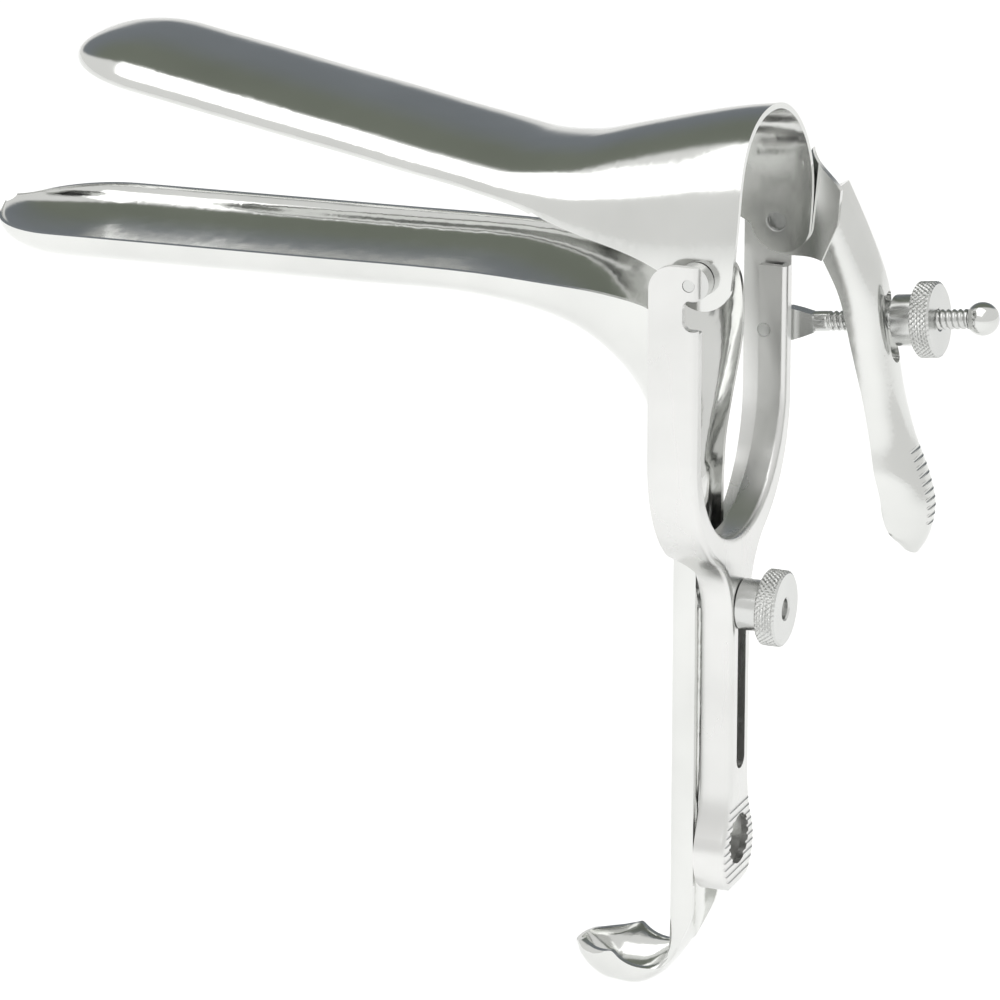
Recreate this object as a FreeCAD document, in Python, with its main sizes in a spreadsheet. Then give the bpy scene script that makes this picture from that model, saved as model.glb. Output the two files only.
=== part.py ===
import FreeCAD, Part
import math
import os

# Bivalve speculum of the Graves pattern, in millimetres.
# The pieces are drawn round the blade hinge, midway between the yoke arms, and set at the end so that
# the origin is in the middle of the pad's finger hole. X points rearward to the user, so the blades
# run towards -X. Y points to the lever side and Z points up.

Vector = FreeCAD.Vector
os.makedirs("parts", exist_ok=True)
doc = FreeCAD.newDocument("speculum")

SIZES = {
    # yoke
    "arm_half_width": 28.0,
    "arm_top": 3.6,
    "arm_rear": 1.8,
    "arm_depth": 10.0,
    "arm_corner_radius": 5.0,
    "plate_bottom": -9.8,
    "yoke_sheet": 1.5,
    "arm_web_width": 4.0,
    "inner_flange_depth": 5.9,
    "shoulder_centre": -36.6,
    "stem_half_width": 5.2,
    "stem_blend_height": -75.6,
    "stem_depth": 6.7,
    "pad_radius": 9.0,
    "pad_centre": -125.2,
    "pad_blend_radius": 25.0,
    "pad_hole_radius": 5.2,
    "pad_hole_height": -123.1,
    "slot_half_width": 2.3,
    "crotch_bottom": -58.3,
    "retreat_length": 5.0,
    "bend_radius": 1.2,
    "pad_corner_radius": 3.0,
    "notch_corner_radius": 2.0,
    "slot_top": -69.6,
    "slot_bottom": -108.0,
    "groove_radius": 0.45,
    "groove_pitch": 1.65,
    "groove_count": 10,
    "notch_height": 6.4,
    "notch_depth": 3.0,
    "notch_middle": -6.0,
    # blades
    "blade_sheet": 1.2,
    "upper_half_width": 20.3,
    "upper_depth": 7.7,
    "upper_length": 140.2,
    "upper_rise_angle": 10.1,
    "lower_half_width": 21.3,
    "lower_depth": 7.8,
    "lower_length": 158.6,
    "tip_length": 19.0,
    "hinge_room": 4.6,
    "mouth_height": 30.3,
    "mouth_rear": 7.8,
    "ear_radius": 6.2,
    "ear_centre": 1.0,
    # handle of the lower blade
    "handle_half_width": 7.9,
    "handle_front": -11.1,
    "handle_flange_depth": 5.8,
    "handle_bottom": -137.0,
    "hook_radius": 10.7,
    # hinge pins
    "boss_radius": 3.6,
    "journal_radius": 1.2,
    "spigot_radius": 1.9,
    "tapped_hole_radius": 2.1,
    "running_clearance": 0.05,
    "side_clearance": 0.1,
    # lever
    "lever_sheet": 1.5,
    "lever_offset": 1.6,
    "lever_pad_width": 12.6,
    "rod_slot_half_width": 2.75,
    "rod_slot_half_length": 7.25,
    "rod_slot_height": -21.6,
    "lever_rivet_radius": 1.2,
    "lever_rivet_spacing": 8.0,
    "lever_rivet_middle": 1.6,
    "lever_rivet_height": 4.2,
    "lever_rivet_seat": 0.7,
    "rod_offset": 2.3,
    # rod, nuts and stud
    "rod_radius": 2.05,
    "rod_pivot_setback": 3.0,
    "rod_pivot_height": -23.3,
    "rod_angle": 7.0,
    "rod_length": 44.3,
    "rod_thread_start": 12.0,
    "eye_radius": 3.3,
    "eye_thickness": 2.8,
    "rod_rivet_radius": 1.4,
    "ball_radius": 3.4,
    "tenon_radius": 1.4,
    "angle_nut_place": 26.2,
    "nut_edge": 0.4,
    "nut_radius": 7.7,
    "nut_thickness": 4.2,
    "nut_boss_radius": 5.2,
    "nut_boss_length": 4.9,
    "nut_bore_radius": 2.1,
    "stud_radius": 2.05,
    "stud_height": -73.1,
    "stud_head_radius": 4.0,
    "stud_head_thickness": 1.6,
    "stud_recess": 1.4,
}

# Sizes that follow others: the bell mouth leaves room for the hinge bosses inside the arms, and the lever
# and the rod keep their distances from the far arm.
TIED_SIZES = {
    "mouth_half_width": "=arm_half_width - hinge_room",
    "lever_middle": "=arm_half_width + lever_offset",
    "rod_middle": "=arm_half_width + rod_offset",
}

sheet = doc.addObject("Spreadsheet::Sheet", "Sizes")
for row, (alias, number) in enumerate({**SIZES, **TIED_SIZES}.items(), start=1):
    sheet.set("A%d" % row, alias)
    sheet.set("B%d" % row, str(number))
    sheet.setAlias("B%d" % row, alias)
doc.recompute()


def size(alias):
    return float(sheet.get(alias))


def bind(item, **bindings):
    for prop, expression in bindings.items():
        item.setExpression(prop.replace("__", "."), expression)


# Planes for the sketches: side view (X right, Z up) and rear view (Y right, Z up)
SIDE_VIEW = FreeCAD.Rotation(Vector(1, 0, 0), 90)
REAR_VIEW = FreeCAD.Rotation(Vector(1, 1, 1), 120)


def sketch(name, view, edges):
    item = doc.addObject("Sketcher::SketchObject", name)
    item.Placement = FreeCAD.Placement(Vector(0, 0, 0), view)
    item.addGeometry(edges, False)
    return item


def line(first, second):
    return Part.LineSegment(Vector(*first, 0), Vector(*second, 0))


def arc(centre, radius, start, end):
    circle = Part.Circle(Vector(*centre, 0), Vector(0, 0, 1), radius)
    return Part.ArcOfCircle(circle, math.radians(start), math.radians(end))


def chain(*points):
    return [line(a, b) for a, b in zip(points, points[1:])]


def spline(*points):
    curve = Part.BSplineCurve()
    curve.interpolate([Vector(*p, 0) for p in points])
    return curve


def prism(name, profile, direction, start, end):
    item = doc.addObject("Part::Extrusion", name)
    item.Base = profile
    item.DirMode = "Custom"
    item.Dir = direction
    item.Solid = True
    bind(item, LengthFwd=end, LengthRev="-(" + start + ")")
    return item


def cut(name, base, tool):
    item = doc.addObject("Part::Cut", name)
    item.Base = base
    item.Tool = tool
    item.Refine = True
    return item


def fuse(name, items):
    item = doc.addObject("Part::MultiFuse", name)
    item.Shapes = items
    item.Refine = True
    return item


def common(name, items):
    item = doc.addObject("Part::MultiCommon", name)
    item.Shapes = items
    item.Refine = True
    return item


def cylinder(name, axis, radius, length, x="0", y="0", z="0"):
    item = doc.addObject("Part::Cylinder", name)
    turns = {"X": FreeCAD.Rotation(Vector(0, 1, 0), 90), "Y": FreeCAD.Rotation(Vector(1, 0, 0), -90)}
    item.Placement = FreeCAD.Placement(Vector(0, 0, 0), turns[axis])
    bind(item, Radius=radius, Height=length)
    bind(item, Placement__Base__x=x, Placement__Base__y=y, Placement__Base__z=z)
    return item


def free_form(name, shape):
    item = doc.addObject("Part::Feature", name)
    item.Shape = shape
    item.Placement = FreeCAD.Placement()
    return item


# Sheet metal troughs are drawn as a row of stations. A station holds the place of the trough's bottom
# in the side view, the angle of the depth direction, the depth, the half width, and the squareness
# across and down. Squareness 2 both ways gives an ellipse. More across flattens the bottom, and more
# down makes the walls steeper.
# A depth below zero turns the trough over, so its rims point the other way.
SECTION_STEPS = 24


def station(rim, bottom, half_width, across, down=None):
    run = (bottom[0] - rim[0], bottom[1] - rim[1])
    angle = math.degrees(math.atan2(run[1], run[0]))
    if angle > 90:
        angle -= 360
    return (bottom[0], bottom[1], angle, math.hypot(*run), half_width, across, down or across)


def section_points(item, middle, thickness):
    bottom_x, bottom_z, angle, depth, half_width, square_across, square_down = item
    turn = math.radians(angle)
    direction = Vector(math.cos(turn), 0, math.sin(turn))
    rim = Vector(bottom_x, middle, bottom_z) - direction * depth
    lean = math.pi / 2 * (1 - math.tanh(depth / (1.5 * thickness)))
    inner_start = -thickness * math.sin(lean)
    inner_depth = depth - thickness - inner_start
    inner_half = half_width - thickness * math.cos(lean)
    outer = []
    inner = []
    for step in range(SECTION_STEPS + 1):
        sweep = math.pi * step / SECTION_STEPS
        across = -math.copysign(abs(math.cos(sweep)) ** (2 / square_across), math.cos(sweep))
        down = math.sin(sweep) ** (2 / square_down) if 0 < step < SECTION_STEPS else 0.0
        outer.append(rim + Vector(0, across * half_width, 0) + direction * down * depth)
        inner.append(rim + Vector(0, across * inner_half, 0) + direction * (inner_start + down * inner_depth))
    return outer, inner


def slopes(places, values):
    steps = [(b - a) / (q - p) for a, b, p, q in zip(values, values[1:], places, places[1:])]
    result = [steps[0]]
    for before, after in zip(steps, steps[1:]):
        result.append(2 * before * after / (before + after) if before * after > 0 else 0.0)
    return result + [steps[-1]]


def refined(stations, parts):
    places = [0.0]
    for first, second in zip(stations, stations[1:]):
        turn = math.radians(second[2] - first[2])
        places.append(places[-1] + math.hypot(second[0] - first[0], second[1] - first[1], 4 * turn))
    columns = [list(column) for column in zip(*stations)]
    tangents = [slopes(places, column) for column in columns]
    result = []
    for index in range(len(stations) - 1):
        gap = places[index + 1] - places[index]
        for part in range(parts):
            t = part / parts
            row = []
            for column, tangent in zip(columns, tangents):
                row.append((2 * t ** 3 - 3 * t ** 2 + 1) * column[index]
                           + (t ** 3 - 2 * t ** 2 + t) * gap * tangent[index]
                           + (3 * t ** 2 - 2 * t ** 3) * column[index + 1]
                           + (t ** 3 - t ** 2) * gap * tangent[index + 1])
            result.append(tuple(row))
    return result + [stations[-1]]


# A smooth surface within 0.01 mm of the rows. The fit finds no answer for some lengths, and the surface
# then goes through every point, which takes more patches for the same form.
def fitted_skin(rows):
    skin = Part.BSplineSurface()
    try:
        skin.approximate(Points=rows, DegMin=3, DegMax=5, Tolerance=0.01, Continuity=2)
    except Part.OCCError:
        skin.interpolate(rows)
    return skin


def sheet_trough(name, stations, thickness, middle=0.0):
    outer_rows = []
    inner_rows = []
    for item in stations:
        outer, inner = section_points(item, middle, thickness)
        outer_rows.append(outer)
        inner_rows.append(inner)
    skins = []
    for rows in (outer_rows, inner_rows):
        skins.append(fitted_skin(rows))
    outer_skin, inner_skin = skins
    faces = [outer_skin.toShape(), inner_skin.toShape()]
    u_low, u_high, v_low, v_high = outer_skin.bounds()
    p_low, p_high, q_low, q_high = inner_skin.bounds()
    for v, q in ((v_low, q_low), (v_high, q_high)):
        faces.append(Part.makeRuledSurface(outer_skin.vIso(v).toShape(), inner_skin.vIso(q).toShape()))
    for u, p in ((u_low, p_low), (u_high, p_high)):
        faces.append(Part.makeRuledSurface(outer_skin.uIso(u).toShape(), inner_skin.uIso(p).toShape()))
    shell = Part.makeShell(faces)
    shell.sewShape()
    solid = Part.makeSolid(Part.Shell(shell.Faces))
    if solid.Volume < 0:
        solid.reverse()
    return free_form(name, solid)


# Yoke frame: a fork pressed from sheet, folded to a channel that is open to the front.

def yoke_outline(inset):
    half = size("arm_half_width")
    stem = size("stem_half_width")
    shoulder = size("shoulder_centre")
    blend = size("stem_blend_height")
    drop = shoulder - blend
    blend_radius = (drop ** 2 + stem ** 2 - half ** 2) / (2 * (half - stem))
    shoulder_angle = math.degrees(math.atan2(drop, stem + blend_radius))
    pad = size("pad_radius")
    pad_centre = size("pad_centre")
    pad_blend = size("pad_blend_radius")
    pad_rise = math.sqrt((pad + pad_blend) ** 2 - (stem + pad_blend) ** 2)
    pad_angle = math.degrees(math.atan2(pad_rise, stem + pad_blend))
    flare = pad_centre + pad_rise
    top = size("arm_top") - inset
    half_in = half - inset
    stem_in = stem - inset
    return [
        line((-half_in, top), (half_in, top)),
        line((half_in, top), (half_in, shoulder)),
        arc((0, shoulder), half_in, -shoulder_angle, 0),
        arc((stem + blend_radius, blend), blend_radius + inset, 180 - shoulder_angle, 180),
        line((stem_in, blend), (stem_in, flare)),
        arc((stem + pad_blend, flare), pad_blend + inset, 180, 180 + pad_angle),
        arc((0, pad_centre), pad - inset, 180 - pad_angle, 360 + pad_angle),
        arc((-stem - pad_blend, flare), pad_blend + inset, -pad_angle, 0),
        line((-stem_in, flare), (-stem_in, blend)),
        arc((-stem - blend_radius, blend), blend_radius + inset, 0, shoulder_angle),
        arc((0, shoulder), half_in, 180, 180 + shoulder_angle),
        line((-half_in, shoulder), (-half_in, top)),
    ]


def crotch_outline(outset):
    radius = size("arm_half_width") - size("arm_web_width") + outset
    centre = size("crotch_bottom") + size("arm_half_width") - size("arm_web_width")
    top = size("arm_top") + 2
    return [
        line((-radius, centre), (-radius, top)),
        line((-radius, top), (radius, top)),
        line((radius, top), (radius, centre)),
        arc((0, centre), radius, 180, 360),
    ]


def slot_outline(middle, half_width, low, high):
    return [
        arc((middle, high - half_width), half_width, 0, 180),
        line((middle - half_width, high - half_width), (middle - half_width, low + half_width)),
        arc((middle, low + half_width), half_width, 180, 360),
        line((middle + half_width, low + half_width), (middle + half_width, high - half_width)),
    ]


def yoke_side_outline():
    rear = size("arm_rear")
    front = rear - size("arm_depth")
    stem_front = rear - size("stem_depth")
    top = size("arm_top")
    round_top = size("arm_corner_radius")
    bottom = size("pad_centre") - size("pad_radius")
    round_low = size("pad_corner_radius")
    retreat = size("crotch_bottom") - 1
    retreat_end = retreat - size("retreat_length")
    return [
        line((rear, top), (front + round_top, top)),
        arc((front + round_top, top - round_top), round_top, 90, 180),
        line((front, top - round_top), (front, retreat)),
        line((front, retreat), (stem_front, retreat_end)),
        line((stem_front, retreat_end), (stem_front, bottom)),
        line((stem_front, bottom), (rear - round_low, bottom)),
        arc((rear - round_low, bottom + round_low), round_low, 270, 360),
        line((rear, bottom + round_low), (rear, top)),
    ]


def notch_outline():
    rear = size("arm_rear")
    deep = rear - size("notch_depth")
    low = size("notch_middle") - size("notch_height") / 2
    high = size("notch_middle") + size("notch_height") / 2
    corner = size("notch_corner_radius")
    return [
        line((rear + 1, high), (deep + corner, high)),
        arc((deep + corner, high - corner), corner, 90, 180),
        line((deep, high - corner), (deep, low + corner)),
        arc((deep + corner, low + corner), corner, 180, 270),
        line((deep + corner, low), (rear + 1, low)),
        line((rear + 1, low), (rear + 1, high)),
    ]


ALONG_X = Vector(1, 0, 0)
ALONG_Y = Vector(0, 1, 0)
yoke_blank = prism("yoke_blank", sketch("yoke_outline", REAR_VIEW, yoke_outline(0)), ALONG_X,
                   "Sizes.arm_rear - Sizes.arm_depth", "Sizes.arm_rear")
yoke_side = prism("yoke_side", sketch("yoke_side_outline", SIDE_VIEW, yoke_side_outline()), ALONG_Y,
                  "-Sizes.arm_half_width - 1", "Sizes.arm_half_width + 1")
crotch = prism("crotch", sketch("crotch_outline", REAR_VIEW, crotch_outline(0)), ALONG_X,
               "Sizes.arm_rear - Sizes.arm_depth - 1", "Sizes.arm_rear + 1")
fork = cut("fork", yoke_blank, crotch)
doc.recompute()


def edges_of(item, wanted):
    return [number for number, edge in enumerate(item.Shape.Edges, start=1) if wanted(edge)]


def fillet(name, base, radius, wanted):
    item = doc.addObject("Part::Fillet", name)
    item.Base = base
    item.Edges = [(number, size(radius), size(radius)) for number in edges_of(base, wanted)]
    return item


def on_rear_face(edge):
    on_plane = all(abs(v.X - size("arm_rear")) < 0.01 for v in edge.Vertexes)
    below_top = edge.CenterOfMass.z < size("arm_top") - 0.5
    return on_plane and below_top and abs(edge.CenterOfMass.x - size("arm_rear")) < 0.01


rounded_fork = common("rounded_fork", [fillet("bent_fork", fork, "bend_radius", on_rear_face), yoke_side])
hollow_outer = prism("hollow_outer", sketch("hollow_outline", REAR_VIEW, yoke_outline(size("yoke_sheet"))),
                     ALONG_X, "Sizes.arm_rear - Sizes.arm_depth - 1", "Sizes.arm_rear - Sizes.yoke_sheet")
crotch_wall = prism("crotch_wall", sketch("crotch_wall_outline", REAR_VIEW, crotch_outline(size("yoke_sheet"))),
                    ALONG_X, "Sizes.arm_rear - Sizes.arm_depth - 2", "Sizes.arm_rear + 2")
hollow = cut("hollow", hollow_outer, crotch_wall)
flange_trim = prism("flange_trim", sketch("flange_trim_outline", REAR_VIEW,
                                          crotch_outline(size("arm_web_width") - size("yoke_sheet"))),
                    ALONG_X, "Sizes.arm_rear - Sizes.arm_depth - 1",
                    "Sizes.arm_rear - Sizes.inner_flange_depth")
between_plates = doc.addObject("Part::Box", "between_plates")
bind(between_plates, Length="Sizes.arm_depth + 4", Width="2 * (Sizes.arm_half_width - Sizes.yoke_sheet)",
     Height="Sizes.arm_top - Sizes.plate_bottom + 1",
     Placement__Base__x="Sizes.arm_rear - Sizes.arm_depth - 2",
     Placement__Base__y="-(Sizes.arm_half_width - Sizes.yoke_sheet)",
     Placement__Base__z="Sizes.plate_bottom")
stem_slot = prism("stem_slot", sketch("stem_slot_outline", REAR_VIEW,
                                      slot_outline(0, size("slot_half_width"), size("slot_bottom"),
                                                   size("slot_top"))),
                  ALONG_X, "-1", "Sizes.arm_rear + 1")
pad_hole = cylinder("pad_hole", "X", "Sizes.pad_hole_radius", "10", x="-5", z="Sizes.pad_hole_height")
notch = prism("notch", sketch("notch_outline", SIDE_VIEW, notch_outline()), ALONG_Y,
              "-Sizes.arm_half_width - 1", "-Sizes.arm_half_width + 3")
hinge_bores = cylinder("hinge_bores", "Y", "Sizes.journal_radius + Sizes.running_clearance",
                       "2 * Sizes.arm_half_width + 2", y="-Sizes.arm_half_width - 1")
rod_rivet_bore = cylinder("rod_rivet_bore", "Y", "Sizes.rod_rivet_radius + Sizes.running_clearance", "8",
                          x="-Sizes.rod_pivot_setback", y="Sizes.arm_half_width - 6",
                          z="Sizes.rod_pivot_height")
yoke_cuts = [hollow, flange_trim, between_plates, stem_slot, pad_hole, notch, hinge_bores, rod_rivet_bore]
for count in range(int(size("groove_count"))):
    groove = cylinder("pad_groove_%d" % count, "Y", "Sizes.groove_radius", "2 * Sizes.pad_radius + 2",
                      x="Sizes.arm_rear + 0.1", y="-Sizes.pad_radius - 1",
                      z="Sizes.pad_hole_height + Sizes.groove_pitch * %.1f" % (count - 4.5))
    yoke_cuts.append(groove)
yoke_frame = cut("yoke_frame", rounded_fork, fuse("yoke_cut_tools", yoke_cuts))


# Upper blade: trough, throat and bell in one sheet, trimmed in the side view to the ears.
def trough_tip(length, rim, half_width, depth, side, squareness):
    stations = []
    for turn in range(9, 90, 9):
        share = math.sin(math.radians(turn))
        x = -length + size("tip_length") * (1 - math.cos(math.radians(turn)))
        deep = depth * share ** 1.25
        stations.append(station((x, rim(x)), (x, rim(x) + side * deep), half_width * share, squareness))
    return stations


def upper_rim(x):
    throat = -43.0
    return 11.2 + (throat - x) * math.tan(math.radians(size("upper_rise_angle")))


tip_length = size("tip_length")
width = size("upper_half_width")
depth = size("upper_depth")
spread_more = size("mouth_half_width") - width
crown = size("mouth_height")
upper_stations = []
for x in (tip_length - size("upper_length"), -96.0, -70.0, -52.0):
    upper_stations.append(station((x, upper_rim(x)), (x, upper_rim(x) + depth), width, 2.4))
bell_stations = (
    (-42.0, 10.6, 0.02, 0.0, 2.4),
    (-33.0, 7.4, 0.16, 0.07, 2.5),
    (-22.0, 1.6, 0.46, 0.33, 2.7),
    (-11.0, -4.5, 0.78, 0.61, 2.9),
    (0.0, -7.0, 0.96, 0.85, 3.1),
    (10.5, -7.0, 1.0, 1.0, 3.2),
)
throat_top = 19.4
for x, rim, spread, rise, steepness in bell_stations:
    top = throat_top + (crown - throat_top) * rise
    upper_stations.append(station((x, rim), (x, top), width + spread_more * spread, 2.1, steepness))
upper_tip = trough_tip(size("upper_length"), upper_rim, width, depth, 1, 2.4)
upper_sheet = sheet_trough("upper_sheet", upper_tip + refined(upper_stations, 2), size("blade_sheet"))
ear = size("ear_radius")
ear_middle = size("ear_centre")
rear = size("mouth_rear")
ear_start = 188.0
ear_end = 345.0


def on_ear(angle):
    turn = math.radians(angle)
    return (ear_middle + ear * math.cos(turn), ear * math.sin(turn))


trim_top = crown + 3
trim_edges = [
    spline((-36.0, 9.4), (-24.4, 5.6), (-12.0, 2.4), on_ear(ear_start)),
    arc((ear_middle, 0), ear, ear_start, ear_end),
    spline(on_ear(ear_end), (rear - 0.2, 6.0), (rear, 12.0), (rear - 0.8, 23.5), (rear - 1.5, trim_top)),
] + chain((rear - 1.5, trim_top), (rear + 8, trim_top), (rear + 8, -14), (-36.0, -14), (-36.0, 9.4))
upper_trim = prism("upper_trim", sketch("upper_trim_outline", SIDE_VIEW, trim_edges), ALONG_Y,
                   "-Sizes.mouth_half_width - 5", "Sizes.mouth_half_width + 5")
near_ear_hole = cylinder("near_ear_hole", "Y", "Sizes.spigot_radius + 0.02", "8",
                         y="-Sizes.mouth_half_width - 4")
tapped_hole = cylinder("tapped_hole", "Y", "Sizes.tapped_hole_radius", "8", y="Sizes.mouth_half_width - 4")
RIVET_PLACES = ("Sizes.lever_rivet_middle - Sizes.lever_rivet_spacing / 2",
                "Sizes.lever_rivet_middle + Sizes.lever_rivet_spacing / 2")
rivet_holes = [
    cylinder("ear_rivet_hole_%d" % number, "Y", "Sizes.lever_rivet_radius + 0.02", "8",
             x=x, y="Sizes.mouth_half_width - Sizes.lever_rivet_seat", z="Sizes.lever_rivet_height")
    for number, x in enumerate(RIVET_PLACES, start=1)
]
upper_blade = cut("upper_blade", upper_sheet,
                  fuse("upper_cut_tools", [upper_trim, near_ear_hole, tapped_hole] + rivet_holes))


# Lower blade: trough, half bell, channel handle and dished hook, one strip of sheet.

def lower_rim(x):
    return -3.9 + (x + 43.0) * 0.022


width = size("lower_half_width")
depth = size("lower_depth")
front = size("handle_front")
flange = front + size("handle_flange_depth")
handle = size("handle_half_width")
handle_bottom = size("handle_bottom")
lower_stations = []
for x in (tip_length - size("lower_length"), -108.0, -78.0, -54.0):
    lower_stations.append(station((x, lower_rim(x)), (x, lower_rim(x) - depth), width, 2.3))
between_arms = size("arm_half_width") - size("arm_web_width")
half_bell = (
    ((-30.0, -4.9), (-33.5, -15.6), width, 2.2),
    ((-16.0, -6.0), (-23.5, -21.8), between_arms - 2.2, 2.2),
    ((-7.5, -10.0), (-17.0, -30.0), between_arms - 2.4, 2.2),
    ((-5.3, -21.5), (-13.8, -38.0), between_arms - 5.2, 2.2),
    ((-5.3, -33.0), (-12.3, -46.5), between_arms - 10.8, 2.3),
    ((-5.3, -43.0), (-11.5, -53.0), between_arms - 15.2, 2.6),
)
for rim, bottom, half_width, squareness in half_bell:
    lower_stations.append(station(rim, bottom, half_width, squareness))
lower_stations.append(station((flange, -51.5), (front, -57.0), handle, 3.6))
lower_stations.append(station((flange, -60.0), (front, -62.0), handle, 4.6))
for height in (-70.0, -92.0, -114.0, handle_bottom + 4, handle_bottom):
    lower_stations.append(station((flange, height), (front, height), handle, 5.0))
hook = size("hook_radius")
hook_centre = (front - hook, handle_bottom - 8.2)
hook_stations = (
    (0.0, 2.8, 1.0, 4.0),
    (-26.0, -0.6, 1.0, 3.0),
    (-52.0, -4.0, 1.0, 2.4),
    (-80.0, -7.0, 1.0, 2.2),
    (-106.0, -7.8, 0.98, 2.2),
    (-130.0, -6.4, 0.9, 2.2),
    (-148.0, -4.0, 0.68, 2.2),
    (-159.0, -1.6, 0.34, 2.2),
)
for angle, deep, spread, squareness in hook_stations:
    turn = math.radians(angle)
    x = hook_centre[0] + hook * math.cos(turn)
    z = hook_centre[1] + hook * math.sin(turn)
    lower_stations.append((x, z, angle - 180, deep, handle * spread, squareness, squareness))
lower_tip = trough_tip(size("lower_length"), lower_rim, width, depth, -1, 2.3)
lower_sheet = sheet_trough("lower_sheet", lower_tip + refined(lower_stations, 2), size("blade_sheet"))
stud_hole = cylinder("stud_hole", "X", "Sizes.stud_radius + 0.02", "6", x="Sizes.handle_front - 2",
                     z="Sizes.stud_height")
lower_blade = cut("lower_blade", lower_sheet, stud_hole)


# Thumb lever: a channel open to the front, with its near flange widened to a root plate on the far ear.
lever_outline = (
    ((5.0, 3.4), (12.0, 7.4), 5.45, 3.2),
    ((8.6, -6.2), (16.8, -2.4), 5.4, 3.2),
    ((12.8, -15.0), (20.8, -13.0), 5.3, 3.2),
    ((15.6, -26.0), (22.8, -25.0), 5.3, 3.2),
    ((18.2, -36.5), (24.8, -36.0), 5.3, 3.2),
    ((20.0, -45.4), (27.5, -45.0), 5.6, 3.0),
    ((21.4, -52.0), (30.3, -52.0), 6.3, 2.8),
    ((22.8, -58.5), (31.8, -58.5), 6.2, 2.5),
    ((24.6, -64.0), (30.6, -64.8), 4.8, 2.3),
    ((26.6, -67.0), (28.7, -68.0), 2.4, 2.2),
)
lever_stations = refined([station(*item) for item in lever_outline], 2)
lever_channel = sheet_trough("lever_channel", lever_stations, size("lever_sheet"), size("lever_middle"))
root_inside = "Sizes.mouth_half_width + Sizes.side_clearance / 2"
root_edges = [
    spline((13.0, 7.2), (10.6, 10.0), (8.2, 12.6), (7.0, 15.6)),
    spline((7.0, 15.6), (4.4, 11.0), (0.6, 7.4), (-4.6, 4.6)),
    spline((-4.6, 4.6), (-5.6, 0.0), (-4.2, -4.0), (0.0, -6.8), (4.8, -6.9), (9.2, -7.6)),
] + chain((9.2, -7.6), (12.4, 0.0), (13.0, 7.2))
root_plate = prism("root_plate", sketch("root_outline", SIDE_VIEW, root_edges), ALONG_Y, root_inside,
                   root_inside + " + Sizes.lever_sheet")
lever_blank = fuse("lever_blank", [lever_channel, root_plate])
rod_slot = prism("rod_slot", sketch("rod_slot_outline", REAR_VIEW,
                                    slot_outline(size("rod_middle"), size("rod_slot_half_width"),
                                                 size("rod_slot_height") - size("rod_slot_half_length"),
                                                 size("rod_slot_height") + size("rod_slot_half_length"))),
                 ALONG_X, "17", "27")
root_hole = cylinder("root_hole", "Y", "Sizes.spigot_radius + 0.02", "8", y="Sizes.mouth_half_width - 2")
root_rivet_holes = [
    cylinder("root_rivet_hole_%d" % number, "Y", "Sizes.lever_rivet_radius + 0.02", "8",
             x=x, y="Sizes.mouth_half_width - 4", z="Sizes.lever_rivet_height")
    for number, x in enumerate(RIVET_PLACES, start=1)
]
lever_cuts = [rod_slot, root_hole] + root_rivet_holes


def lever_back(height):
    for above, below in zip(lever_stations, lever_stations[1:]):
        if below[1] <= height <= above[1]:
            return above[0] + (below[0] - above[0]) * (above[1] - height) / (above[1] - below[1])


for count in range(int(size("groove_count"))):
    height = -46.2 - size("groove_pitch") * count
    groove = cylinder("lever_groove_%d" % count, "Y", "Sizes.groove_radius", "Sizes.lever_pad_width - 3",
                      x="%.2f" % lever_back(height), y="Sizes.lever_middle - (Sizes.lever_pad_width - 3) / 2",
                      z="%.2f" % height)
    lever_cuts.append(groove)
thumb_lever = cut("thumb_lever", lever_blank, fuse("lever_cut_tools", lever_cuts))


# Hinge pins: spigot in the ear, boss between ear and arm plate, journal in the plate.
def pin(name, side, spigot_end, boss_start):
    outer = "(Sizes.arm_half_width - 0.2)"
    inner = "(Sizes.arm_half_width - Sizes.yoke_sheet - Sizes.side_clearance)"
    spans = (("journal", "Sizes.journal_radius", inner, outer), ("boss", "Sizes.boss_radius", boss_start, inner),
             ("spigot", "Sizes.spigot_radius", spigot_end, boss_start))
    parts = []
    for label, radius, low, high in spans:
        start = low if side > 0 else "-" + high
        parts.append(cylinder(name + "_" + label, "Y", radius, "%s - %s" % (high, low), y=start))
    return fuse(name, parts)


ear_inside = "(Sizes.mouth_half_width - Sizes.blade_sheet + 0.4)"
near_pivot_screw = pin("near_pivot_screw", -1, ear_inside, "(Sizes.mouth_half_width + 0.05)")
far_pivot_screw = pin("far_pivot_screw", 1, "(Sizes.mouth_half_width + 0.2)",
                      "(Sizes.mouth_half_width + Sizes.lever_sheet + 0.1)")


# Lever root rivets, flush with the root plate and blind in the ear.
def root_rivet(name, x):
    shank = cylinder(name + "_shank", "Y", "Sizes.lever_rivet_radius",
                     "Sizes.lever_rivet_seat + Sizes.lever_sheet + Sizes.side_clearance / 2", x=x,
                     y="Sizes.mouth_half_width - Sizes.lever_rivet_seat", z="Sizes.lever_rivet_height")
    doc.recompute()
    rivet = doc.addObject("Part::Chamfer", name)
    rivet.Base = shank
    rivet.Edges = [(number, 0.2, 0.2) for number in edges_of(shank, lambda edge: len(edge.Vertexes) == 1)]
    return rivet


lever_rivet_front = root_rivet("lever_rivet_front", RIVET_PLACES[0])
lever_rivet_rear = root_rivet("lever_rivet_rear", RIVET_PLACES[1])


# Rod and its pieces are drawn along X from the eye, then set on the far arm at the rod's angle.
def on_rod(item, along=0.0):
    pivot = Vector(-size("rod_pivot_setback"), size("rod_middle"), size("rod_pivot_height"))
    tilt = FreeCAD.Rotation(Vector(0, 1, 0), -size("rod_angle"))
    item.Placement = FreeCAD.Placement(pivot + tilt.multVec(Vector(along, 0, 0)), tilt)


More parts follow.
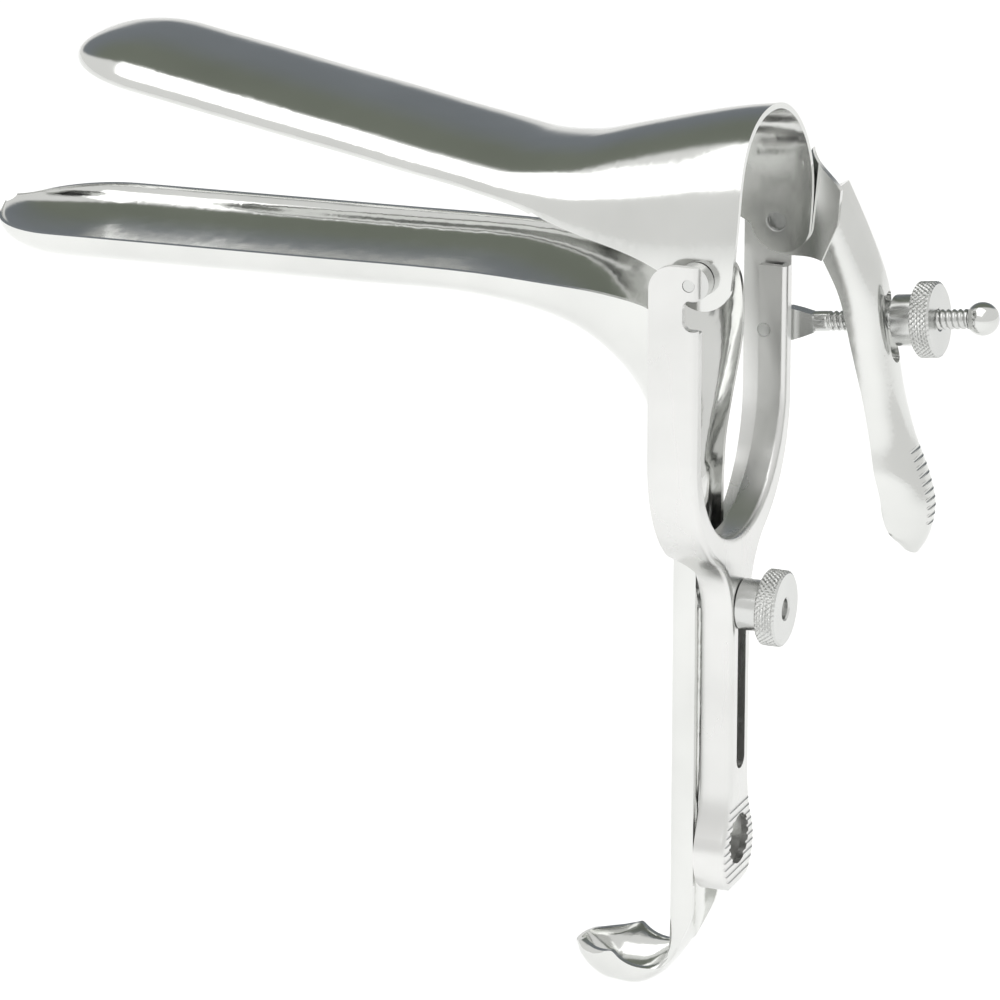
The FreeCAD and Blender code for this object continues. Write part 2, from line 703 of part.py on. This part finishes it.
def turned(name, points):
    profile = sketch(name + "_outline", SIDE_VIEW, chain(*points, points[0]))
    item = doc.addObject("Part::Revolution", name)
    item.Source = profile
    item.Axis = Vector(1, 0, 0)
    item.Base = Vector(0, 0, 0)
    item.Angle = 360
    item.Solid = True
    return item


eye_inside = "(Sizes.arm_half_width + 2 * Sizes.side_clearance - Sizes.rod_middle)"
eye = cylinder("rod_eye_disc", "Y", "Sizes.eye_radius", "Sizes.eye_thickness", y=eye_inside)
rod = size("rod_radius")
rod_end = size("rod_length")
tenon = size("tenon_radius")
ball_seat = rod_end - size("ball_radius") * 0.8
paddle_end = size("rod_thread_start") - 3
paddle_half = size("eye_radius")
paddle = prism("rod_paddle", sketch("rod_paddle_outline", SIDE_VIEW, chain(
    (0, -paddle_half), (4.4, -paddle_half), (paddle_end, -rod), (paddle_end, rod), (4.4, paddle_half),
    (0, paddle_half), (0, -paddle_half))), ALONG_Y, eye_inside, eye_inside + " + Sizes.eye_thickness")
shank_start = 6.0
shank = turned("rod_shank", [(shank_start, 0), (shank_start, rod), (ball_seat, rod), (ball_seat, tenon),
                             (rod_end, tenon), (rod_end, 0)])
eye_bore = cylinder("rod_eye_bore", "Y", "Sizes.rod_rivet_radius + Sizes.running_clearance",
                    "Sizes.eye_thickness + 2", y=eye_inside + " - 1")
angle_rod = cut("angle_rod", fuse("rod_blank", [eye, paddle, shank]), eye_bore)
on_rod(angle_rod)

ball = doc.addObject("Part::Sphere", "ball")
bind(ball, Radius="Sizes.ball_radius", Placement__Base__x="Sizes.rod_length")
ball_flat = cylinder("ball_flat", "X", "Sizes.ball_radius + 1", "4",
                     x="Sizes.rod_length - Sizes.ball_radius * 0.8 - 4")
ball_bore = cylinder("ball_bore", "X", "Sizes.tenon_radius + 0.02", "Sizes.ball_radius",
                     x="Sizes.rod_length - Sizes.ball_radius + 0.02")
rod_stop_ball = cut("rod_stop_ball", ball, fuse("ball_cuts", [ball_flat, ball_bore]))
on_rod(rod_stop_ball)


def nut_blank(name):
    boss = size("nut_boss_radius")
    length = size("nut_boss_length")
    disc = size("nut_radius")
    end = length + size("nut_thickness")
    bore = size("nut_bore_radius")
    edge = size("nut_edge")
    return turned(name, [(0, bore), (0, boss - edge), (edge, boss), (length, boss), (length, disc - edge),
                         (length + edge, disc), (end - edge, disc), (end, disc - edge), (end, bore)])


angle_nut = nut_blank("angle_nut")
on_rod(angle_nut, size("angle_nut_place"))
height_nut = nut_blank("height_nut")
height_nut.Placement = FreeCAD.Placement(Vector(size("arm_rear") + size("side_clearance"), 0,
                                                size("stud_height")), FreeCAD.Rotation())

rivet_shank = cylinder("rod_rivet_shank", "Y", "Sizes.rod_rivet_radius",
                       "Sizes.arm_web_width + Sizes.eye_thickness + 0.3",
                       y="Sizes.arm_half_width - Sizes.arm_web_width - Sizes.rod_middle")
rivet_head = cylinder("rod_rivet_head", "Y", "Sizes.rod_rivet_radius + 1", "0.8",
                      y=eye_inside + " + Sizes.eye_thickness + Sizes.side_clearance")
rod_pivot_rivet = fuse("rod_pivot_rivet", [rivet_shank, rivet_head])
on_rod(rod_pivot_rivet)

stud_end = size("arm_rear") + size("side_clearance") + size("nut_boss_length") + size("nut_thickness") \
    - size("stud_recess")
web_inside = front + size("blade_sheet")
stud_edge = 0.4
stud = size("stud_radius")
head = size("stud_head_radius")
height_stud = turned("height_stud", [
    (front, 0), (front, stud), (web_inside + 0.02, stud), (web_inside + 0.02, head),
    (web_inside + size("stud_head_thickness"), head), (web_inside + size("stud_head_thickness"), stud),
    (stud_end - stud_edge, stud), (stud_end, stud - stud_edge), (stud_end, 0)])
height_stud.Placement = FreeCAD.Placement(Vector(0, 0, size("stud_height")), FreeCAD.Rotation())


NODES = [yoke_frame, upper_blade, lower_blade, thumb_lever, near_pivot_screw, far_pivot_screw,
         lever_rivet_front, lever_rivet_rear, angle_rod, rod_stop_ball, rod_pivot_rivet, angle_nut,
         height_stud, height_nut]
finger_hole = Vector(size("arm_rear") - size("yoke_sheet") / 2, 0, size("pad_hole_height"))
for item in NODES:
    item.Placement = FreeCAD.Placement(finger_hole * -1, FreeCAD.Rotation()) * item.Placement
doc.recompute()
for item in doc.Objects:
    if "Invalid" in item.State or "Error" in item.State:
        raise RuntimeError("failed object: " + item.Name)
for item in NODES:
    item.Label = item.Name
    if item.Shape.isNull() or not item.Shape.isValid() or not item.Shape.Solids:
        raise RuntimeError("bad shape: " + item.Label)
    print(item.Label, len(item.Shape.Solids), "solid(s), volume %.1f" % item.Shape.Volume)
    item.Shape.exportStep("parts/" + item.Label + ".step")
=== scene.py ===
import math

import bpy
import bmesh
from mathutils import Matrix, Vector


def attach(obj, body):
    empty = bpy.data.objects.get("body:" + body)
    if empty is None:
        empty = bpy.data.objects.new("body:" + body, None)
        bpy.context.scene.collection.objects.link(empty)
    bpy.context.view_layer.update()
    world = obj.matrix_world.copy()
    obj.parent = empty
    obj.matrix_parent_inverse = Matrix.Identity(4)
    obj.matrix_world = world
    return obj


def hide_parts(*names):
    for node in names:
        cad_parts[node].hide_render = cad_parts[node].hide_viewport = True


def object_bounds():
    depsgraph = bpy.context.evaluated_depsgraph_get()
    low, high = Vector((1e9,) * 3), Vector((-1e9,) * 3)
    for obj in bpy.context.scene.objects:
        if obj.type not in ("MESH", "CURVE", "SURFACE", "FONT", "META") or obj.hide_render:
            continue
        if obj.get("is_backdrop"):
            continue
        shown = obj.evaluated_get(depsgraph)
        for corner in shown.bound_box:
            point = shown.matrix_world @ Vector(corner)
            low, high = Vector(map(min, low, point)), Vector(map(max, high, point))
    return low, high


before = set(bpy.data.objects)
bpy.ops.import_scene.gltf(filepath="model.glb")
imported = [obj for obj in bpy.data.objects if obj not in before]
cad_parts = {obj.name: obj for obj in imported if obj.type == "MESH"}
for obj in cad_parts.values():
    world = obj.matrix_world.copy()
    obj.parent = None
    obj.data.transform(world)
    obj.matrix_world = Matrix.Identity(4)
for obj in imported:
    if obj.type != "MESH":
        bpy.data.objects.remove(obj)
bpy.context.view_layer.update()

MM = 0.001
# The blade hinge in the row frame. The pieces below are placed round it, in millimetres.
HINGE = Vector((-1.05, 0.0, 123.1)) * MM


# Camera: the photograph's angle, almost without perspective.
CAMERA_AZIMUTH = math.radians(22)
CAMERA_ELEVATION = math.radians(18)
CAMERA_DISTANCE = 1275 * MM
LENS = 234.0
SENSOR = 36.0
# The aim lies this far from the hinge, in the picture's own directions.
AIM_RIGHT = -45.56 * MM
AIM_UP = -49.61 * MM
DATUM = Vector((-1.2, 0.0, 0.4)) * MM
CLIP_START = 0.05
CLIP_END = 20


def add_camera():
    sin_a, cos_a = math.sin(CAMERA_AZIMUTH), math.cos(CAMERA_AZIMUTH)
    sin_e, cos_e = math.sin(CAMERA_ELEVATION), math.cos(CAMERA_ELEVATION)
    back = Vector((sin_a * cos_e, -cos_a * cos_e, sin_e))
    right = Vector((cos_a, sin_a, 0))
    up = Vector((-sin_a * sin_e, cos_a * sin_e, cos_e))
    data = bpy.data.cameras.new("camera")
    data.lens = LENS
    data.sensor_width = SENSOR
    data.clip_start = CLIP_START
    data.clip_end = CLIP_END
    camera = bpy.data.objects.new("camera", data)
    bpy.context.scene.collection.objects.link(camera)
    camera.location = HINGE + DATUM + back * CAMERA_DISTANCE + right * AIM_RIGHT + up * AIM_UP
    camera.rotation_euler = (-back).to_track_quat("-Z", "Y").to_euler()
    bpy.context.scene.camera = camera


# Finishes: a fine grain for roughness and relief, and a soft cloud that darkens the tint a little.
GRAIN_SCALE = 60
GRAIN_DETAIL = 6
CLOUD_SCALE = 45
CLOUD_DETAIL = 3
CLOUD_RANGE = (0.3, 0.7)
CLOUD_SHADE = 0.9
ROUGHNESS_RANGE = (0.75, 1.3)
RELIEF_DISTANCE = 0.0001


def steel(name, tint, roughness, brush, bump):
    material = bpy.data.materials.new(name)
    material.use_nodes = True
    nodes = material.node_tree.nodes
    links = material.node_tree.links
    shader = nodes["Principled BSDF"]
    shader.inputs["Metallic"].default_value = 1.0
    place = nodes.new("ShaderNodeTexCoord")
    stretch = nodes.new("ShaderNodeMapping")
    stretch.inputs["Scale"].default_value = brush
    links.new(place.outputs["Object"], stretch.inputs["Vector"])
    grain = nodes.new("ShaderNodeTexNoise")
    grain.inputs["Scale"].default_value = GRAIN_SCALE
    grain.inputs["Detail"].default_value = GRAIN_DETAIL
    links.new(stretch.outputs["Vector"], grain.inputs["Vector"])
    cloud = nodes.new("ShaderNodeTexNoise")
    cloud.inputs["Scale"].default_value = CLOUD_SCALE
    cloud.inputs["Detail"].default_value = CLOUD_DETAIL
    links.new(place.outputs["Object"], cloud.inputs["Vector"])
    shade = nodes.new("ShaderNodeValToRGB")
    dark, light = shade.color_ramp.elements
    dark.position, light.position = CLOUD_RANGE
    dark.color = (*[c * CLOUD_SHADE for c in tint], 1)
    light.color = (*tint, 1)
    links.new(cloud.outputs["Fac"], shade.inputs["Fac"])
    links.new(shade.outputs["Color"], shader.inputs["Base Color"])
    rough = nodes.new("ShaderNodeMapRange")
    rough.inputs["To Min"].default_value = roughness * ROUGHNESS_RANGE[0]
    rough.inputs["To Max"].default_value = roughness * ROUGHNESS_RANGE[1]
    links.new(grain.outputs["Fac"], rough.inputs["Value"])
    links.new(rough.outputs["Result"], shader.inputs["Roughness"])
    relief = nodes.new("ShaderNodeBump")
    relief.inputs["Strength"].default_value = bump
    relief.inputs["Distance"].default_value = RELIEF_DISTANCE
    links.new(grain.outputs["Fac"], relief.inputs["Height"])
    links.new(relief.outputs["Normal"], shader.inputs["Normal"])
    return material


POLISHED = steel("polished_steel", (0.75, 0.755, 0.74), 0.13, (1, 1, 1), 0.04)
SATIN = steel("satin_steel", (0.77, 0.77, 0.76), 0.27, (1, 1, 0.2), 0.06)
TURNED = steel("turned_steel", (0.66, 0.665, 0.655), 0.22, (8, 1, 1), 0.12)
FINISHES = {
    "yoke_frame": SATIN,
    "upper_blade": POLISHED,
    "lower_blade": POLISHED,
    "thumb_lever": POLISHED,
    "rod_stop_ball": POLISHED,
}
for name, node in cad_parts.items():
    for material_slot in node.material_slots:
        material_slot.material = FINISHES.get(name, TURNED)


SHARP_ANGLE = math.radians(35)


def along(origin, axis, x, radius, angle):
    """A point at distance x along the axis and at this radius and angle round it, in millimetres."""
    side = Vector((0, 1, 0))
    if abs(axis.y) > 0.9:
        side = Vector((1, 0, 0))
    up = axis.cross(side).normalized()
    side = up.cross(axis).normalized()
    place = origin + axis * x + (side * math.cos(angle) + up * math.sin(angle)) * radius
    return HINGE + place * MM


def revolved(name, origin, axis, rings, around, closed):
    """A turned piece. Each ring is (x, radius), and radius may be a function of the angle."""
    mesh = bmesh.new()
    loops = []
    for x, radius in rings:
        loop = []
        for step in range(around):
            angle = 2 * math.pi * step / around
            size = radius(angle) if callable(radius) else radius
            loop.append(mesh.verts.new(along(origin, axis, x, size, angle)))
        loops.append(loop)
    pairs = list(zip(loops, loops[1:]))
    if closed:
        pairs.append((loops[-1], loops[0]))
    for first, second in pairs:
        for step in range(around):
            after = (step + 1) % around
            mesh.faces.new((first[step], first[after], second[after], second[step]))
    if not closed:
        mesh.faces.new(loops[0])
        mesh.faces.new(loops[-1])
    return finished(name, mesh)


def finished(name, mesh):
    bmesh.ops.recalc_face_normals(mesh, faces=mesh.faces)
    data = bpy.data.meshes.new(name)
    mesh.to_mesh(data)
    mesh.free()
    item = bpy.data.objects.new(name, data)
    bpy.context.scene.collection.objects.link(item)
    for face in data.polygons:
        face.use_smooth = True
    data.set_sharp_from_angle(angle=SHARP_ANGLE)
    return item


def wave(value):
    """A triangle wave from 0 at the whole numbers to 1 halfway."""
    return 1 - abs(2 * (value % 1.0) - 1)


# Knurled nuts: boss, disc with a diamond knurl, bore.
BOSS_RADIUS = 5.2
BOSS_LENGTH = 4.9
DISC_RADIUS = 7.7
DISC_LENGTH = 4.2
EDGE = 0.4
BORE = 2.1
KNURL_COUNT = 44
KNURL_PITCH = 1.15
KNURL_DEPTH = 0.32
KNURL_STEPS = 22
SAMPLES_PER_KNURL = 6


def knurl(x):
    def radius(angle):
        turns = angle / (2 * math.pi) * KNURL_COUNT
        lean = x / KNURL_PITCH
        height = min(1.0, 1.5 * min(wave(turns + lean), wave(turns - lean)))
        return DISC_RADIUS - KNURL_DEPTH * (1 - height)
    return radius


def nut(name, origin, axis, node, body):
    end = BOSS_LENGTH + DISC_LENGTH
    rings = [(0.25, BORE), (0.0, BORE + 0.25), (0.0, BOSS_RADIUS - EDGE), (0.1, BOSS_RADIUS - 0.1),
             (EDGE, BOSS_RADIUS), (BOSS_LENGTH, BOSS_RADIUS), (BOSS_LENGTH, DISC_RADIUS - EDGE - 0.1)]
    start = BOSS_LENGTH + EDGE
    for step in range(KNURL_STEPS + 1):
        x = start + (DISC_LENGTH - 2 * EDGE) * step / KNURL_STEPS
        rings.append((x, knurl(x - start)))
    rings += [(end, DISC_RADIUS - EDGE - 0.15), (end, BORE + 0.35), (end - 0.35, BORE)]
    item = revolved(name, origin, axis, rings, KNURL_COUNT * SAMPLES_PER_KNURL, True)
    item.data.materials.append(TURNED)
    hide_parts(node)
    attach(item, body)


ROD_PIVOT = Vector((-3.0, 30.3, -23.3))
ROD_ANGLE = math.radians(7)
ROD_AXIS = Vector((math.cos(ROD_ANGLE), 0, math.sin(ROD_ANGLE)))
ANGLE_NUT_PLACE = 26.2
X_AXIS = Vector((1, 0, 0))
Y_AXIS = Vector((0, 1, 0))
STUD = Vector((0, 0, -73.1))
HEIGHT_NUT_PLACE = 1.9
nut("knurled_angle_nut", ROD_PIVOT + ROD_AXIS * ANGLE_NUT_PLACE, ROD_AXIS, "angle_nut", "setting_nut")
nut("knurled_height_nut", STUD + X_AXIS * HEIGHT_NUT_PLACE, X_AXIS, "height_nut", "locking_nut")


# Threads: the crest is at the CAD shank's radius.
THREAD_CREST = 2.05
THREAD_DEPTH = 0.36
THREAD_PITCH = 1.25
THREAD_STEPS = 8
THREAD_AROUND = 32
THREAD_FLAT = 1.3
THREAD_RUN_OUT = 0.6


def thread(x, fade):
    def radius(angle):
        height = min(1.0, THREAD_FLAT * wave(x / THREAD_PITCH - angle / (2 * math.pi)))
        return THREAD_CREST - THREAD_DEPTH * fade * (1 - height)
    return radius


def thread_rings(start, end):
    count = round((end - start) / THREAD_PITCH * THREAD_STEPS)
    rings = []
    for step in range(count + 1):
        x = start + (end - start) * step / count
        fade = min(1.0, (x - start) / THREAD_PITCH, (end - x) / THREAD_RUN_OUT)
        rings.append((x, thread(x, max(0.0, fade))))
    return rings


# The rod's plain neck, its thread and the tenon that holds the ball.
rod_rings = [(6.0, 1.95), (9.5, THREAD_CREST)] + thread_rings(11.5, 41.5) + [(41.58, 1.4), (44.3, 1.4)]
rod = revolved("threaded_rod", ROD_PIVOT, ROD_AXIS, rod_rings, THREAD_AROUND, False)
rod.data.materials.append(TURNED)
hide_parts("angle_rod")
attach(rod, "rod")


EYE_RADIUS = 3.3
EYE_BORE = 1.45
EYE_SIDES = (-2.1, 0.7)
EYE_STEPS = 24
EYE_BEVEL = 0.25
EYE_EDGE_ANGLE = math.radians(60)


def rod_eye():
    """The flat eye with its bore and the tapered paddle, which narrows to the shank."""
    mesh = bmesh.new()
    outline = []
    for step in range(EYE_STEPS + 1):
        angle = math.radians(90 + 180 * step / EYE_STEPS)
        outline.append((EYE_RADIUS * math.cos(angle), EYE_RADIUS * math.sin(angle)))
    outline += [(2.2, -EYE_RADIUS), (4.4, -EYE_RADIUS), (6.6, -2.7), (9.0, -1.9), (9.0, 0.0),
                (9.0, 1.9), (6.6, 2.7), (4.4, EYE_RADIUS), (2.2, EYE_RADIUS)]
    up = ROD_AXIS.cross(Y_AXIS)
    layers = []
    for y in EYE_SIDES:
        outer = []
        inner = []
        for a, b in outline:
            centre = ROD_PIVOT + Y_AXIS * y
            shrink = EYE_BORE / math.hypot(a, b)
            outer.append(mesh.verts.new(HINGE + (centre + ROD_AXIS * a - up * b) * MM))
            inner.append(mesh.verts.new(HINGE + (centre + ROD_AXIS * a * shrink - up * b * shrink) * MM))
        layers.append((outer, inner))
    (near_out, near_in), (far_out, far_in) = layers
    count = len(outline)
    for step in range(count):
        after = (step + 1) % count
        mesh.faces.new((near_out[step], near_out[after], near_in[after], near_in[step]))
        mesh.faces.new((far_out[step], far_in[step], far_in[after], far_out[after]))
        mesh.faces.new((near_out[step], far_out[step], far_out[after], near_out[after]))
        mesh.faces.new((near_in[step], near_in[after], far_in[after], far_in[step]))
    rim = [edge for edge in mesh.edges if abs(edge.calc_face_angle(0.0)) > EYE_EDGE_ANGLE]
    bmesh.ops.bevel(mesh, geom=rim, offset=EYE_BEVEL * MM, segments=2, affect="EDGES", clamp_overlap=True)
    return finished("rod_eye", mesh)


eye = rod_eye()
eye.data.materials.append(TURNED)
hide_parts("angle_rod")
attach(eye, "rod")

# The stud: its end in the handle's wall, its head inside the handle, and the thread for the height nut.
stud_head = [(-11.1, THREAD_CREST), (-9.88, THREAD_CREST), (-9.88, 3.8), (-9.7, 4.0),
             (-8.5, 4.0), (-8.3, 3.8), (-8.3, THREAD_CREST)]
stud_rings = stud_head + thread_rings(-7.5, 9.2) + [(9.6, 1.5)]
stud = revolved("threaded_stud", STUD, X_AXIS, stud_rings, THREAD_AROUND, False)
stud.data.materials.append(TURNED)
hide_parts("height_stud")
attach(stud, "bottom")


# Thread of the tapped hole in the far ear.
EAR_INSIDE = 22.25
EAR_THREAD_LENGTH = 1.32
EAR_THREAD_STEP = 0.05
EAR_THREAD_STEPS = 26
EAR_THREAD_PITCH = 0.7
EAR_THREAD_DEPTH = 0.25
SLEEVE_RADIUS = 2.09
EAR_THREAD_ROOT = 2.08
SLEEVE_LIP = 0.02


def inner_thread(x):
    def radius(angle):
        return EAR_THREAD_ROOT - EAR_THREAD_DEPTH * wave(x / EAR_THREAD_PITCH - angle / (2 * math.pi))
    return radius


sleeve_rings = [(0.0, SLEEVE_RADIUS)]
for step in range(EAR_THREAD_STEPS):
    x = EAR_THREAD_STEP * step
    sleeve_rings.append((SLEEVE_LIP + x, inner_thread(x)))
sleeve_rings.append((EAR_THREAD_LENGTH, SLEEVE_RADIUS))
sleeve = revolved("ear_thread", Y_AXIS * EAR_INSIDE, Y_AXIS, sleeve_rings, THREAD_AROUND, True)
sleeve.data.materials.append(TURNED)
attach(sleeve, "top")


def area_light(name, place, aim, size, power):
    data = bpy.data.lights.new(name, "AREA")
    data.shape = "RECTANGLE"
    data.size, data.size_y = size
    data.energy = power
    lamp = bpy.data.objects.new(name, data)
    bpy.context.scene.collection.objects.link(lamp)
    lamp.location = place
    lamp.rotation_euler = (Vector(aim) - Vector(place)).to_track_quat("-Z", "Y").to_euler()


LAMP_PLACE = (-0.2, -0.5, 1.1)
LAMP_AIM = (-0.05, 0, 0.05)
LAMP_SIZE = (1.2, 1.2)
LAMP_POWER = 5
area_light("overhead", LAMP_PLACE, LAMP_AIM, LAMP_SIZE, LAMP_POWER)

# The studio is pale in front and along the horizon, and grey above and behind the object.
# Its edges are given as the sine of the height, or as the cosine to the middle of the grey part.
CEILING_TILT = 38
CEILING_EDGE = (0.70, 0.80)
HORIZON_EDGE = (0.07, 0.2)
HUE_EDGE = (0.35, 0.75)
STUDIO_COLOUR = (1, 1, 0.985)
CEILING_COLOUR = (0.22, 0.24, 0.20)
BACK_COLOUR = (0.23, 0.25, 0.27)
STUDIO_STRENGTH = 0.86


def mapped(nodes, links, value, low, high):
    step = nodes.new("ShaderNodeMapRange")
    step.interpolation_type = "SMOOTHSTEP"
    step.inputs["From Min"].default_value = low
    step.inputs["From Max"].default_value = high
    links.new(value, step.inputs["Value"])
    return step.outputs["Result"]


def studio():
    world = bpy.data.worlds.new("world")
    bpy.context.scene.world = world
    world.use_nodes = True
    nodes = world.node_tree.nodes
    links = world.node_tree.links
    place = nodes.new("ShaderNodeTexCoord")
    lean = nodes.new("ShaderNodeVectorMath")
    lean.operation = "DOT_PRODUCT"
    links.new(place.outputs["Generated"], lean.inputs[0])
    tilt = math.radians(CEILING_TILT)
    lean.inputs[1].default_value = (-math.sin(CAMERA_AZIMUTH) * math.cos(tilt),
                                    math.cos(CAMERA_AZIMUTH) * math.cos(tilt), math.sin(tilt))
    parts = nodes.new("ShaderNodeSeparateXYZ")
    links.new(place.outputs["Generated"], parts.inputs["Vector"])
    ceiling = mapped(nodes, links, lean.outputs["Value"], *CEILING_EDGE)
    horizon = mapped(nodes, links, parts.outputs["Z"], *HORIZON_EDGE)
    dark = nodes.new("ShaderNodeMath")
    dark.operation = "MULTIPLY"
    links.new(ceiling, dark.inputs[0])
    links.new(horizon, dark.inputs[1])
    hue = nodes.new("ShaderNodeMix")
    hue.data_type = "RGBA"
    links.new(mapped(nodes, links, parts.outputs["Z"], *HUE_EDGE), hue.inputs["Factor"])
    hue.inputs["A"].default_value = (*BACK_COLOUR, 1)
    hue.inputs["B"].default_value = (*CEILING_COLOUR, 1)
    mix = nodes.new("ShaderNodeMix")
    mix.data_type = "RGBA"
    links.new(dark.outputs["Value"], mix.inputs["Factor"])
    mix.inputs["A"].default_value = (*STUDIO_COLOUR, 1)
    links.new(hue.outputs["Result"], mix.inputs["B"])
    links.new(mix.outputs["Result"], nodes["Background"].inputs["Color"])
    nodes["Background"].inputs["Strength"].default_value = STUDIO_STRENGTH


studio()


# The lower blade travels 18 mm down, so the floor lies clear of its hook.
FLOOR_DROP = 20
FLOOR_REACH = 4.0
FLOOR_COLOUR = (0.86, 0.86, 0.86)
FLOOR_ROUGHNESS = 0.9
FLOOR_GLOW = 0.42


def floor():
    data = bpy.data.meshes.new("floor")
    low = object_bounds()[0][2] - FLOOR_DROP * MM
    reach = FLOOR_REACH
    corners = [(-reach, -reach, low), (reach, -reach, low), (reach, reach, low), (-reach, reach, low)]
    data.from_pydata(corners, [], [(0, 1, 2, 3)])
    item = bpy.data.objects.new("floor", data)
    bpy.context.scene.collection.objects.link(item)
    material = bpy.data.materials.new("floor")
    material.use_nodes = True
    nodes = material.node_tree.nodes
    links = material.node_tree.links
    shader = nodes["Principled BSDF"]
    shader.inputs["Base Color"].default_value = (*FLOOR_COLOUR, 1)
    shader.inputs["Roughness"].default_value = FLOOR_ROUGHNESS
    shader.inputs["Specular IOR Level"].default_value = 0.0
    shader.inputs["Emission Color"].default_value = (1, 1, 1, 1)
    path = nodes.new("ShaderNodeLightPath")
    seen = nodes.new("ShaderNodeMath")
    seen.operation = "MAXIMUM"
    links.new(path.outputs["Is Camera Ray"], seen.inputs[0])
    links.new(path.outputs["Is Glossy Ray"], seen.inputs[1])
    more = nodes.new("ShaderNodeMath")
    more.operation = "MAXIMUM"
    links.new(seen.outputs["Value"], more.inputs[0])
    links.new(path.outputs["Is Transmission Ray"], more.inputs[1])
    glow = nodes.new("ShaderNodeMath")
    glow.operation = "MULTIPLY"
    glow.inputs[1].default_value = FLOOR_GLOW
    links.new(more.outputs["Value"], glow.inputs[0])
    links.new(glow.outputs["Value"], shader.inputs["Emission Strength"])
    data.materials.append(material)
    item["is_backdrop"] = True


floor()
bpy.context.scene.view_settings.view_transform = "Standard"
add_camera()
